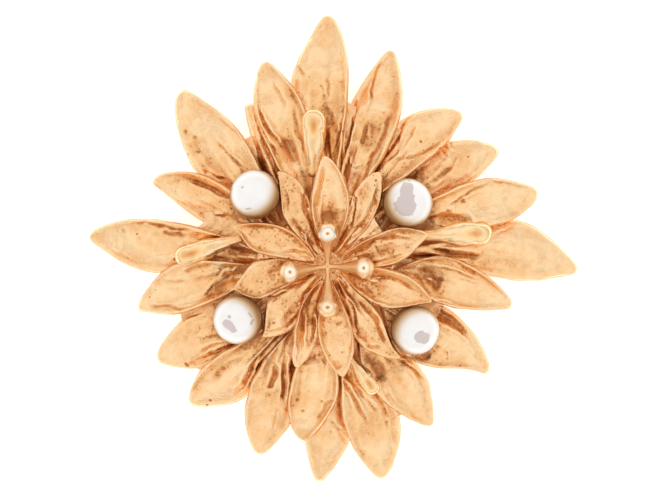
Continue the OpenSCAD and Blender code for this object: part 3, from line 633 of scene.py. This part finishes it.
        painted_light=[(-7.4, 13.5, 2.5, 0.15)],
        lines=[(0.13, -0.15, -9.7, 19.2, -9.2, 17.6, -8.4, 15.4)]),
    21: dict(rim=((0.22, 0.35), (0.28, 0.4)), hollow=0.1, rough=0.9,
        painted_light=[(-7.6, 22.2, 1.2, 0.25), (-5.6, 19.0, 1.2, 0.25), (-5.2, 14.8, 1.2, -0.2)],
        lines=[(0.18, -0.4, -8.4, 20.5, -8.3, 19.0, -7.6, 17.2, -6.6, 15.9, -5.2, 14.4),
        (0.15, -0.34, -9.0, 19.6, -8.6, 17.9, -7.6, 15.9, -6.6, 14.3, -6.0, 13.1),
        (0.16, 0.22, -8.8, 20.0, -8.5, 18.3, -7.6, 16.5, -6.3, 14.7),
        (0.12, -0.16, -7.6, 19.0, -7.0, 17.8, -6.0, 16.9),
        (0.18, -0.24, -7.0, 23.0, -6.1, 21.4, -5.5, 20.3, -5.2, 18.8),
        (0.4, 0.14, -6.4, 20.6, -6.0, 19.0, -5.0, 17.6),
        (0.22, -0.28, -4.4, 20.2, -4.0, 18.3, -3.7, 16.5, -2.9, 14.6, -2.4, 13.0),
        (0.5, -0.42, -5.7, 16.0, -4.6, 14.2, -3.8, 12.6), (0.14, -0.2, -8.3, 23.9, -8.5, 23.1),
        (0.13, -0.14, -5.0, 22.0, -3.6, 19.6)]),
}
INNER_LOOKS = {
    1: dict(rim=((0.2, 0.3), (0.3, 0.3)), hollow=0.3,
        painted_light=[(0.4, 6.1, 1.1, -0.35)],
        lines=[(0.42, 0.45, -0.7, 12.6, -1.1, 10.5, -1.7, 8.4, -1.8, 6.8),
        (0.18, -0.3, -0.2, 12.2, -0.7, 10.0, -1.1, 8.2, -1.1, 6.7),
        (0.8, -0.25, -0.9, 6.3, 1.5, 6.1), (0.14, -0.2, 0, 10.6, 0.1, 10.3),
        (0.13, -0.16, -0.3, 8.6, -0.1, 8.5)]),
    2: dict(rim=((0.1, 0.25), (0.38, 0.32)), hollow=0.15, rough=1.1,
        painted_light=[(4.1, 6.9, 1.3, 0.18)],
        lines=[(0.12, -0.18, 5.85, 8.7, 5.9, 7.4), (0.12, -0.22, 6.1, 5.6, 6.2, 4.8, 5.8, 4.2),
        (0.16, -0.22, 3.2, 9.5, 3.3, 8.0, 3.1, 6.5, 2.7, 4.5)]),
    3: dict(rim=((0.42, 0.42), (0.28, 0.35)), hollow=0.25,
        lines=[(0.2, -0.34, 3.0, 1.4, 4.6, 2.2, 6.0, 3.3, 8.0, 3.6, 10.4, 3.2, 11.0, 2.7),
        (0.8, -0.2, 6.0, 1.6, 8.0, 2.2, 10.0, 2.8), (0.14, -0.16, 5.6, 2.6, 6.3, 1.8),
        (0.12, -0.12, 7.4, 1.0, 8.0, 1.9)]),
    4: dict(rim=((0.38, 0.5), (0.22, 0.3)), hollow=0.2, rough=0.7,
        lines=[(0.2, -0.34, 4.9, -1.8, 6.0, -1.3, 7.8, -1.3, 9.5, -2.1, 10.8, -3.2),
        (0.34, -0.3, 4.2, -2.0, 4.8, -2.6, 5.3, -3.2),
        (0.13, -0.28, 3.0, -2.6, 4.5, -3.7, 6.0, -4.6, 7.6, -4.9),
        (0.14, 0.18, 5.3, -2.2, 5.9, -2.8, 5.6, -3.5)]),
    5: dict(rim=((0.34, 0.4), (0.1, 0.25)), hollow=0.15, rough=1.2,
        lines=[(0.2, -0.3, 5.0, -5.0, 5.9, -6.4, 6.4, -8.0, 7.0, -9.5),
        (0.2, -0.32, 2.4, -3.2, 3.1, -5.5, 3.5, -7.5, 4.0, -9.5),
        (0.2, -0.25, 4.4, -9.6, 5.4, -9.9, 6.6, -9.7)]),
    6: dict(rim=((0.26, 0.3), (0.28, 0.35)), hollow=0.12, rough=0.8,
        lines=[(0.45, -0.28, 0.5, -6.7, 1.6, -6.9, 2.3, -7.5), (0.5, -0.3, 0.9, -11.4, 1.5, -12.6),
        (0.14, -0.2, -0.4, -10.6, -0.2, -11.3), (0.13, -0.22, 2.6, -6.8, 3.0, -8.6, 2.6, -10.8)]),
    7: dict(rim=((0.1, 0.25), (0.3, 0.3)), hollow=0.2,
        painted_light=[(-2.0, -5.0, 0.8, -0.25), (-2.2, -6.8, 0.8, -0.2)],
        lines=[(0.3, 0.5, -3.2, -4.7, -3.6, -6.5, -3.8, -9.0, -3.9, -11.5),
        (0.2, -0.4, -2.9, -5.0, -3.1, -7.5, -3.2, -10.2),
        (0.22, -0.5, -1.8, -6.0, -1.7, -7.4, -1.6, -8.6),
        (0.12, -0.25, -4.4, -7.6, -4.4, -9.0, -4.4, -10.5),
        (0.6, -0.2, -2.2, -3.8, -2.4, -5.5, -2.3, -7.5)]),
    8: dict(rim=((0.14, 0.3), (0.2, 0.3)), hollow=0.1, rough=1.1,
        lines=[(0.13, -0.4, -6.9, -6.9, -6.4, -6.95),
        (0.12, -0.25, -8.3, -4.2, -6.5, -3.5, -4.8, -2.9),
        (0.15, -0.25, -7.4, -8.1, -6.2, -7.8, -5.0, -7.4)]),
    9: dict(rim=((0.14, 0.3), (0.2, 0.3)), hollow=0.08, rough=0.5,
        lines=[(0.42, -0.25, -6.1, 0.3, -6.9, -0.8, -6.3, -2.0),
        (0.12, -0.15, -8.1, -1.0, -7.9, -0.9)]),
    10: dict(rim=((0.18, 0.3), (0.36, 0.35)), hollow=0.15, rough=0.7,
        lines=[(0.17, -0.34, -10.2, 4.8, -8.0, 4.8, -6.0, 4.6, -4.5, 3.9, -2.6, 3.1),
        (0.14, -0.2, -5.0, 4.3, -4.0, 3.4, -3.0, 2.8),
        (0.12, -0.22, -5.8, 1.9, -4.0, 1.9, -2.4, 1.7), (0.14, 0.14, -5.4, 2.3, -4.2, 2.3)]),
    11: dict(rim=((0.3, 0.35), (0.2, 0.25)), hollow=0.15, rough=1.2,
        lines=[(0.3, 0.25, -5.9, 10.6, -5.8, 8.0, -5.4, 6.0),
        (0.17, -0.34, -2.9, 9.8, -2.6, 8.0, -2.0, 6.0, -1.5, 4.6),
        (0.14, -0.14, -5.0, 9.2, -4.9, 7.0)]),
}


def keep(piece, body, slot, *nodes):
    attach(piece, body)
    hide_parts(*nodes)


for i, row in enumerate(OUTER, 1):
    node = f"outer_petal_{i:02d}"
    piece = petal(node + "_cast", row, OUTER_LOOKS[i], OUTER_STYLE, PETAL_GOLD, 100 * i)
    keep(piece, "flower", "petal_gold", node)
for i, row in enumerate(INNER, 1):
    node = f"inner_petal_{i:02d}"
    piece = petal(node + "_cast", row, INNER_LOOKS[i], INNER_STYLE, ROSETTE_GOLD, 5000 + 100 * i)
    keep(piece, "flower", "rosette_gold", node)


# -------- buds, stamens, pearls
def lathe(name, start, end, profile, material, seed, bumpy, segments=48, shades=None,
          dent=None, crown=None):
    """A round piece along the line from start to end; profile is (distance along, radius) and
    dent a hollow in its upper side, with painted shade in it: distance along, reach, half width,
    depth. A crown is a ball's centre with the radius and gain of a painted highlight on its top;
    a dark prick marks its middle."""
    start, end = np.array(start, float), np.array(end, float)
    axis = (end - start) / np.linalg.norm(end - start)
    side = np.cross(axis, (0, 0, 1) if abs(axis[2]) < 0.9 else (1, 0, 0))
    side /= np.linalg.norm(side)
    other = np.cross(axis, side)
    turn = np.linspace(0, 2 * np.pi, segments, endpoint=False)[None]
    z, r = (np.array(column)[:, None] for column in zip(*profile))
    cos, sin = np.cos(turn), np.sin(turn)
    r = r * (1 + bumpy * grain(cos * 2 + 20 + z * 0.3, sin * 2 + 20 + z * 1.1, seed))
    x, y = r * cos, r * sin
    shade = np.array(shades or [0.6] * len(profile))[:, None] + np.zeros(x.shape)
    if dent:
        place, reach, broad, depth = dent
        up = side[2] * x + other[2] * y
        across = np.sqrt(np.maximum(0, r ** 2 - up ** 2))
        hollow = bell(z - place, reach) * bell(across, broad) * (up > 0)
        x, y = x - side[2] * depth * hollow, y - other[2] * depth * hollow
        # painted shade in the dent
        shade = shade - 0.7 * hollow ** 2
    rings = start + z[..., None] * axis + x[..., None] * side + y[..., None] * other
    if crown:
        cx, cy, cz, pale, gain = crown
        off = np.hypot(rings[..., 0] - cx, rings[..., 1] - cy)
        over = rings[..., 2] > cz
        # painted highlight on the ball's top, and a dark prick in its middle
        shade = shade + over * (gain * unit((pale - off) / 0.6) - 2.2 * bell(off, 0.15))
    shade = np.clip(shade, 0.05, 1)
    caps = [rings[0].mean(0), rings[-1].mean(0)]
    return skin(name, rings, caps, material, shade, [shade[0, 0], shade[-1, -1]])


def drop_profile(height, stalk, ball):
    """Stalk that swells into a ball centred at the height given."""
    out = [(0.0, stalk * 0.3)]
    for t in np.linspace(0, 1, 26):
        out.append((0.94 * height * t, stalk + (0.95 * ball - stalk) * t ** 2.3))
    for a in np.radians(np.arange(-5, 90, 4)):
        out.append((height + ball * np.sin(a), ball * np.cos(a)))
    return out


def bud_profile(height, ball):
    """A finger that keeps its width and narrows only towards its thin end."""
    out = [(-0.9, 0.12 * ball), (-0.8, 0.3 * ball)]
    for t in np.linspace(-0.1, 1, 34):
        out.append((0.96 * height * t, ball * (0.44 + 0.06 * t + 0.5 * ease(unit(t / 0.7)))))
    for a in np.radians(np.arange(6, 90, 6)):
        out.append((height + ball * np.sin(a) * 0.98, ball * np.cos(a) ** 0.8))
    return out


for side, (thin, blunt, r) in BUDS.items():
    reach = math.dist(thin, blunt)
    profile = bud_profile(reach, 1.08 * r)
    shades = [0.35 + 0.4 * min(1, k / 14) for k in range(len(profile))]
    piece = lathe(f"bud_{side}_cast", thin, blunt, profile, BUD_GOLD, 40 + len(side), 0.06,
                  shades=shades, dent=(0.86 * reach, 0.26 * reach, 0.5 * r, 0.28 * r))
    keep(piece, "flower", "bud_gold", f"bud_{side}")
for side, ((x, y), top_highlight) in STAMENS.items():
    far = math.hypot(x, y)
    foot, ball = (0.15 * x / far, 0.15 * y / far, HUB_Z - 0.1), (x, y, STAMEN_Z)
    profile = drop_profile(math.dist(foot, ball), STALK_R, BALL_R)
    shades = [0.55 + 0.05 * min(1, k / 24) ** 2 + 0.1 * max(0, 1 - k / 6)
              for k in range(len(profile))]
    piece = lathe(f"stamen_{side}_cast", foot, ball, profile, STAMEN_GOLD, 60 + len(side),
                  0.05, shades=shades, crown=(*ball, *top_highlight))
    keep(piece, "flower", "stamen_gold", f"stamen_{side}")


def ground(name, node, slot, rim, surface, drop, under, material, seed, tone):
    """The cast ground between the roots of the petals. Its edge follows the notches between
    them, given as (angle in degrees, radius). It lies lower than the surface by drop: from
    low to high between two radii. under is a list of (radius, height)."""
    turn = np.linspace(0, 2 * np.pi, TURNS, endpoint=False)
    cos, sin = np.cos(turn)[None], np.sin(turn)[None]
    angles = np.radians([a for a, _ in rim])
    edge = np.interp(turn, angles, [r for _, r in rim], period=2 * np.pi)[None, :]
    f = np.linspace(0.012, 1, 120)[::-1][:, None]
    r = f * edge
    x, y = r * cos, r * sin
    relief = 0.20 * grain(turn * 9.0 + 60, r / 2.6 + 10, seed) * unit(r / 3)
    relief += 0.14 * grain(x / 0.9 + 40, y / 0.9 + 40, seed + 1)
    relief += 0.07 * grain(x / 0.35 + 60, y / 0.35 + 60, seed + 2)
    low, high, near, far = drop
    sink = low + (high - low) * unit((r - near) / (far - near))
    top = surface(r) - sink + relief * unit((1 - f) / 0.02)
    brim = surface(edge) - high
    profile = [(np.full(edge.shape, a), np.full(edge.shape, b)) for a, b in under]
    profile += [(edge, brim - 0.55), (edge + 0.12, brim - 0.4), (edge + 0.12, brim - 0.15)]
    rings = [np.stack([a * cos, a * sin, b], -1) for a, b in profile]
    rings = np.concatenate([*rings, np.stack([x, y, top], -1)])
    shade = np.full(rings.shape[:2], 0.4)
    # painted shading: darker towards the middle, lighter on the bumps, and painted shade round the
    # feet of pearls and stamens
    shade[-len(f):] = np.clip(tone + 0.16 * f + relief * 0.8 - painted_foot_shade(x, y), 0.1, 1)
    caps = [rings[0].mean(0), rings[-1].mean(0)]
    keep(skin(name, rings, caps, material, shade, [0.4, 0.4]), "flower", slot, node)


ground("back_plate_cast", "back_plate", "back_gold",
       [(14.5, 22.4), (31.5, 19.9), (45.5, 20.4), (64.5, 18.9), (82.0, 20.1), (101.5, 22.7),
        (111, 19.4), (120.5, 18.5), (144.5, 18.8), (160.5, 16.0), (183, 20.6), (198, 18.9),
        (218, 20.3), (237.5, 17.5), (256.5, 18.5), (277, 20.6), (296.5, 20.3), (312.5, 14.8),
        (341, 14.8), (355.5, 18.5)],
       dome, (0.60, 0.92, 10.0, 15.0),
       [(0.3, 5.4), (4.0, 5.4), (8.4, 5.4), (8.85, 4.8), (9.2, 4.15), (11.0, 3.9),
        (12.8, 3.65), (14.5, 3.4), (14.6, 3.5), (14.6, 4.1)], BACK_GOLD, 300, 0.50)
ground("hub_cast", "hub", "rosette_gold",
       [(2, 8.0), (30, 7.8), (72, 9.0), (106, 7.6), (133, 7.2), (172, 8.6), (205, 7.8),
        (234, 6.2), (258, 6.6), (290, 6.9), (327, 7.0)],
       bowl, (0.40, 0.80, 3.0, 7.0),
       [(0.3, 6.2), (3.2, 6.2), (3.2, 6.85), (2.4, 7.55), (2.5, 8.6), (3.6, 9.2)],
       ROSETTE_GOLD, 320, 0.56)

# grey spots on each pearl's upper half, as seen from above: centre from the pearl's own,
# radii, turn in degrees
GREY_SPOTS = {
    "upper_right": [((-0.35, -0.3), (1.35, 1.2), 0), ((-0.05, 1.3), (0.85, 1.5), 0)],
    "lower_right": [((0.85, -0.9), (0.9, 0.75), -20)],
    "lower_left": [((-0.95, -0.75), (0.95, 0.5), -42), ((-1.0, 0.35), (0.2, 0.22), 0),
                   ((1.55, 0.55), (0.12, 0.42), 35), ((1.75, -0.3), (0.16, 0.42), -25)],
    "upper_left": [((-1.5, 0.85), (0.14, 0.14), 0), ((-0.8, -1.75), (0.4, 0.1), 5)],
}
SPOT_ROUNDNESS = 2.4  # 2 would make each grey spot an ellipse


def nacre(name, centre, grey_spots):
    """Pearl: soft sheen, with crisp grey spots on its upper half."""
    mat, tree, shader, place = new_material(name)
    clouds = texture(tree, "ShaderNodeTexNoise", place, Scale=500.0, Detail=2.0)
    ragged = texture(tree, "ShaderNodeTexNoise", place, Scale=1500.0, Detail=3.0)
    shift = tree.nodes.new("ShaderNodeVectorMath")
    shift.operation = "SUBTRACT"
    tree.links.new(place, shift.inputs[0])
    shift.inputs[1].default_value = tuple((np.array(centre) + AXIS) * MM)
    parts = tree.nodes.new("ShaderNodeSeparateXYZ")
    tree.links.new(shift.outputs[0], parts.inputs[0])
    east, north, up = (parts.outputs[letter] for letter in "XYZ")
    # painted reflection of warm gold on the side that faces the flower's middle, and painted shade
    # lower down
    away = np.array(centre[:2]) / np.hypot(*centre[:2]) * 0.5 / MM
    level = plus(tree, times(tree, east, away[0]), times(tree, north, away[1]))
    level = plus(tree, level, maths(tree, "DIVIDE", up, MM))
    painted_reflection = ramp(tree, times(tree, level, 0.35, clamp=True),
                [(0.0, (0.34, 0.16, 0.06)), (0.22, (0.46, 0.26, 0.11)),
                 (0.42, (0.74, 0.53, 0.33)), (0.58, (0.89, 0.78, 0.65)),
                 (0.7, (0.98, 0.95, 0.92)), (0.82, (1, 1, 1))])
    # painted shadow: darker from the top down to the equator and below, a dark rim seen from above
    rim = ramp(tree, maths(tree, "DIVIDE", up, PEARL_R * MM, clamp=True),
               [(0.0, (0.30, 0.17, 0.08)), (0.2, (0.60, 0.45, 0.33)),
                (0.38, (0.88, 0.81, 0.76)), (0.55, (1, 1, 1))])
    wave = times(tree, minus(tree, ragged, 0.5), 1.1)
    mask = 0.0
    for (px, py), (ra, rb), turn in grey_spots:
        cos, sin = math.cos(math.radians(turn)), math.sin(math.radians(turn))
        dx = minus(tree, maths(tree, "DIVIDE", east, MM), px)
        dy = minus(tree, maths(tree, "DIVIDE", north, MM), py)
        a = plus(tree, times(tree, dx, cos / ra), times(tree, dy, sin / ra))
        b = plus(tree, times(tree, dx, -sin / rb), times(tree, dy, cos / rb))
        a, b = (maths(tree, "POWER", maths(tree, "ABSOLUTE", c), SPOT_ROUNDNESS)
                for c in (a, b))
        size = maths(tree, "SQRT", plus(tree, a, b))
        inside = maths(tree, "LESS_THAN", plus(tree, size, wave), 1.0)
        mask = maths(tree, "MAXIMUM", mask, inside)
    mask = times(tree, mask, maths(tree, "GREATER_THAN", up, 0.0))
    colour = ramp(tree, clouds, [(0.3, (0.95, 0.92, 0.90)), (0.7, (0.98, 0.98, 0.97))])
    colour = blend(tree, mask, colour, (0.68, 0.59, 0.56, 1))
    colour = blend(tree, 1.0, colour, painted_reflection, "MULTIPLY")
    colour = blend(tree, 1.0, colour, rim, "MULTIPLY")
    plug(tree, shader.inputs["Base Color"], colour)
    plug(tree, shader.inputs["Roughness"], plus(tree, times(tree, mask, 0.3), 0.18))
    bump(tree, shader, plus(tree, mask, times(tree, clouds, 0.6)), 0.6, 0.00004, invert=True)
    shader.inputs["Coat Weight"].default_value = 0.3
    shader.inputs["Coat Roughness"].default_value = 0.06
    return mat


for i, (side, (x, y)) in enumerate(PEARLS.items()):
    lowest = -math.sqrt(PEARL_R ** 2 - PEARL_BORE ** 2)
    profile = [(lowest + BORE_DEPTH, PEARL_BORE * 0.5), (lowest + BORE_DEPTH, PEARL_BORE),
               (lowest + BORE_DEPTH * 0.5, PEARL_BORE), (lowest, PEARL_BORE)]
    for a in np.linspace(math.asin(lowest / PEARL_R), math.pi / 2, 60)[1:-1]:
        profile.append((PEARL_R * math.sin(a), PEARL_R * math.cos(a)))
    profile.append((PEARL_R, 0.01))
    centre = (x, y, PEARL_Z)
    piece = lathe(f"pearl_{side}_bead", centre, (x, y, PEARL_Z + 1), profile,
                  nacre(f"nacre_{side}", centre, GREY_SPOTS[side]), 80 + i, 0.008, segments=96)
    keep(piece, "flower", "pearl", f"pearl_{side}")

# -------- CAD pieces seen as they are
FINDINGS = ["hinge_bracket", "hinge_rivet", "pin_stem", "catch_body", "catch_sleeve"]
for name in FINDINGS + [f"pearl_post_{side}" for side in PEARLS]:
    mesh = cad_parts[name].data
    mesh.materials.clear()
    mesh.materials.append(FINDING_GOLD if name in FINDINGS else POST_GOLD)

# -------- floor, light and camera
floor_mat = bpy.data.materials.new("floor")
floor_mat.use_nodes = True
paper = floor_mat.node_tree.nodes["Principled BSDF"]
paper.inputs["Base Color"].default_value = (0.95, 0.95, 0.95, 1)
paper.inputs["Roughness"].default_value = 0.9
paper.inputs["Emission Color"].default_value = (1, 1, 1, 1)
paper.inputs["Emission Strength"].default_value = 0.6
bpy.ops.mesh.primitive_plane_add(size=3.0)
floor = bpy.context.object
floor.name = "floor"
floor.data.materials.append(floor_mat)

# a soft tent: dimmer below and straight above, brightest between
world = bpy.data.worlds.new("tent")
bpy.context.scene.world = world
world.use_nodes = True
tree = world.node_tree
sky = tree.nodes["Background"]
spread = tree.nodes.new("ShaderNodeSeparateXYZ")
tree.links.new(tree.nodes.new("ShaderNodeTexCoord").outputs["Generated"], spread.inputs[0])
tent = ramp(tree, spread.outputs["Z"],
            [(0.0, (0.52, 0.44, 0.38)), (0.25, (0.78, 0.72, 0.68)), (0.5, (1.1,) * 3),
             (0.8, (1.25,) * 3), (0.93, (1.08, 1.06, 1.04)), (0.985, (0.90, 0.81, 0.70))])
tree.links.new(tent, sky.inputs["Color"])
sky.inputs["Strength"].default_value = 0.91

camera = bpy.data.objects.new("camera", bpy.data.cameras.new("camera"))
bpy.context.scene.collection.objects.link(camera)
bpy.context.scene.camera = camera
DISTANCE, VIEW_WIDTH = 1.2, 0.0824
camera.data.lens = camera.data.sensor_width * DISTANCE / VIEW_WIDTH
camera.data.clip_start, camera.data.clip_end = 0.1, 10
camera.location = (0.0002, -0.0002, DISTANCE + 0.005)
bpy.context.scene.view_settings.view_transform = "Standard"
